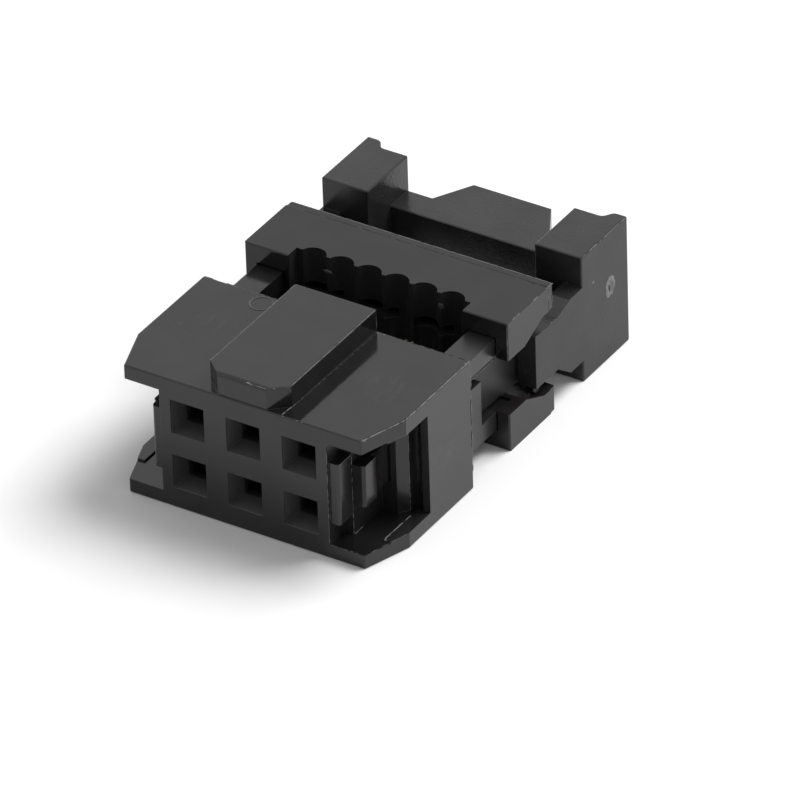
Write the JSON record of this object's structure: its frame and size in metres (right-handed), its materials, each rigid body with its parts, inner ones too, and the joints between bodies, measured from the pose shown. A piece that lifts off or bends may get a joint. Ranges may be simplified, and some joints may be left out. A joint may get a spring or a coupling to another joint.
{
  "type": "ribbon cable socket connector",
  "caption": "Insulation-displacement socket for flat ribbon cable: keyed housing with crimp contacts, crimp cover in its open position and strain relief clip.",
  "frame": {"origin": "middle of the mating face, at half the body's height", "axes": "+X along the row of contacts, +Y from the mating face to the cable end, +Z to the side with the polarising key"},
  "size_m": [0.0122, 0.0199, 0.0069],
  "materials": {
    "housing_plastic": "satin moulded black",
    "cover_plastic": "satin moulded black",
    "relief_plastic": "finely grained moulded black",
    "contact_metal": "thinly plated, satin"
  },
  "bodies": {
    "root": {"housing": "housing_plastic", "cover": "cover_plastic", "strain_relief": "relief_plastic", "contact_upper_1": "contact_metal", "contact_upper_2": "contact_metal", "contact_upper_3": "contact_metal", "contact_lower_1": "contact_metal", "contact_lower_2": "contact_metal", "contact_lower_3": "contact_metal"}
  },
  "joints": []
}
